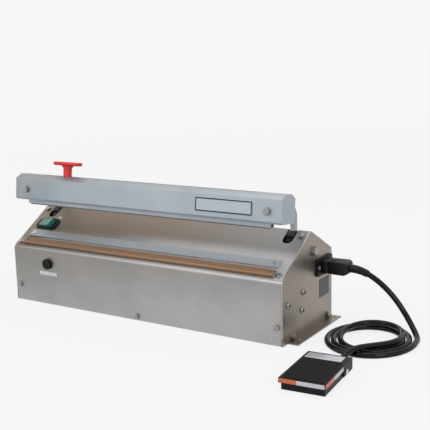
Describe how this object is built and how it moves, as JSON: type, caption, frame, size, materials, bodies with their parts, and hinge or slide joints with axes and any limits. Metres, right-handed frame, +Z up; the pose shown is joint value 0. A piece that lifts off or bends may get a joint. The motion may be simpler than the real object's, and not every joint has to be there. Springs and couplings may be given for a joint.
{
  "type": "impulse sealer",
  "caption": "Bench impulse sealer with a sloped steel casing, a motor-driven upper jaw over a heated seal bar, a sliding film cutter and a foot pedal on a coiled lead.",
  "frame": {"origin": "middle of the casing's underside, on the bench", "axes": "+X right along the jaws, +Y from the front panel to the back panel, +Z up"},
  "size_m": [0.6765, 0.3023, 0.2312],
  "materials": {
    "sheet_steel": "brushed stainless sheet",
    "end_steel": "brushed stainless plate",
    "zinc_bolt": "bright zinc plate",
    "bar_aluminium": "satin anodised",
    "holder_aluminium": "satin anodised",
    "silicone": "moulded silicone",
    "band_alloy": "rolled resistance alloy",
    "seal_cloth": "coated glass cloth",
    "galvanised": "galvanised steel",
    "machine_steel": "machined steel",
    "magnet_iron": "plain iron",
    "winding": "enamelled copper",
    "black_plastic": "moulded, fine texture",
    "pot_metal": "die cast",
    "rocker_green": "translucent",
    "knob_red": "moulded",
    "plate_white": "blank printed plate",
    "plate_grey": "blank foil plate",
    "board_green": "circuit board",
    "lead_rubber": "extruded, semi-gloss",
    "mat_rubber": "moulded, fine texture"
  },
  "bodies": {
    "root": {"base_plate": "sheet_steel", "left_end_plate": "end_steel", "right_end_plate": "end_steel", "front_deck_cover": "sheet_steel", "rear_cover": "sheet_steel", "casing_bolts": "zinc_bolt", "seal_bar": "bar_aluminium", "heating_band": "band_alloy", "seal_cover": "seal_cloth", "heater_terminals": "band_alloy", "pole_strip": "galvanised", "pole_strip_screws": "zinc_bolt", "magnet_cores": "magnet_iron", "magnet_coils": "winding", "switch_housing": "black_plastic", "timer_pot": "pot_metal", "inlet_housing": "black_plastic", "inlet_screws": "zinc_bolt", "rating_plate": "plate_grey", "mains_gland": "black_plastic", "gear_motor": "pot_metal", "motor_screws": "zinc_bolt", "transformer_core": "magnet_iron", "transformer_winding": "winding", "control_board": "board_green", "pivot_bolts": "zinc_bolt", "lead_plug": "lead_rubber", "plug_boot": "lead_rubber", "lead_drop": "lead_rubber", "lead_coil": "lead_rubber", "lead_tail": "lead_rubber", "pedal_base": "black_plastic", "pedal_pin": "zinc_bolt", "pedal_switch": "black_plastic", "pedal_spring": "machine_steel", "pedal_gland": "lead_rubber"},
    "jaw": {"jaw_bar": "bar_aluminium", "left_jaw_cap": "bar_aluminium", "right_jaw_cap": "bar_aluminium", "strip_holder": "holder_aluminium", "silicone_strip": "silicone", "armature_bar": "galvanised", "jaw_bolts": "zinc_bolt", "left_arm": "machine_steel", "right_arm": "machine_steel", "cross_shaft": "machine_steel", "slot_guards": "black_plastic", "name_plate": "plate_white"},
    "crank": {"crank": "machine_steel"},
    "rod": {"connecting_rod": "machine_steel"},
    "carriage": {"cutter_carriage": "black_plastic", "cutter_spring": "machine_steel"},
    "cutter": {"cutter_knob": "knob_red", "cutter_plunger": "machine_steel", "cutter_blade": "machine_steel"},
    "rocker": {"switch_rocker": "rocker_green"},
    "timer": {"timer_knob": "black_plastic"},
    "tread": {"pedal_tread": "black_plastic", "pedal_mat": "mat_rubber"}
  },
  "joints": [
    {"name": "jaw_swing", "type": "hinge", "parent": "root", "child": "jaw", "pos_m": [0, 0.0175, 0.1145], "axis": [1, 0, 0], "range_deg": [0, 38.8]},
    {"name": "crank_turn", "type": "hinge", "parent": "root", "child": "crank", "pos_m": [0.2225, -0.038, 0.053], "axis": [1, 0, 0], "range_deg": [0, 38.8]},
    {"name": "rod_swing", "type": "hinge", "parent": "crank", "child": "rod", "pos_m": [0.2142, -0.02246, 0.02734], "axis": [1, 0, 0], "range_deg": [-38.8, 0]},
    {"name": "cutter_slide", "type": "slide", "parent": "jaw", "child": "carriage", "axis": [1, 0, 0], "range_m": [-0.04, 0.34]},
    {"name": "cutter_press", "type": "slide", "parent": "carriage", "child": "cutter", "axis": [0, -0.1183, -0.993], "range_m": [0, 0.005], "stiffness_N_per_m": 600, "springref_m": -0.006, "deforming": ["cutter_spring"]},
    {"name": "timer_turn", "type": "hinge", "parent": "root", "child": "timer", "pos_m": [-0.177, -0.079, 0.068], "axis": [0, -1, 0], "range_deg": [-135, 135]},
    {"name": "power_rock", "type": "hinge", "parent": "root", "child": "rocker", "pos_m": [-0.216, -0.02897, 0.11755], "axis": [0, 0.848, 0.53], "range_deg": [0, 14]},
    {"name": "pedal_press", "type": "hinge", "parent": "root", "child": "tread", "pos_m": [0.33745, -0.13539, 0.0064], "axis": [0.9965, 0.0837, 0], "range_deg": [0, 2.5], "stiffness_Nm_per_rad": 4, "springref_deg": -5.73, "deforming": ["pedal_spring"]}
  ],
  "couplings": [
    {"joint": "crank_turn", "follows": "jaw_swing", "ratio": 1},
    {"joint": "rod_swing", "follows": "jaw_swing", "ratio": -1}
  ]
}
